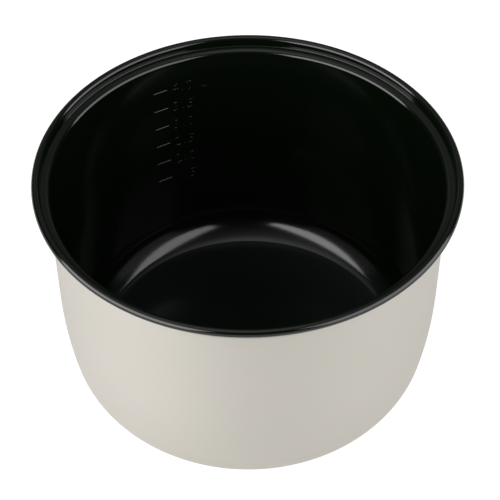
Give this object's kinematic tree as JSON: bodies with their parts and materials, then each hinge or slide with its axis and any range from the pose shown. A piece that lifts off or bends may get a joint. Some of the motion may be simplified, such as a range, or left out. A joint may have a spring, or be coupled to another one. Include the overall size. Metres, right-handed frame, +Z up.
{
  "type": "multicooker inner bowl",
  "caption": "Deep round inner cooking bowl with a flanged, rolled rim, black non-stick inside, a raised level scale and a pale lacquered outside.",
  "frame": {"origin": "middle of the base, on the plane that the bowl stands on", "axes": "+Z up along the bowl's round axis; -Y is the side that faces the viewer; the level scale is at the back of the inside, 28.5 degrees from +Y towards -X"},
  "size_m": [0.2338, 0.2338, 0.145],
  "materials": {
    "bare_aluminium": "turned and brushed base, bare metal",
    "black_nonstick": "satin black fluoropolymer coating",
    "pale_lacquer": "satin pale champagne metallic lacquer"
  },
  "bodies": {
    "root": {"pan_shell": "bare_aluminium", "nonstick_lining": "black_nonstick", "outer_lacquer": "pale_lacquer"}
  },
  "joints": []
}
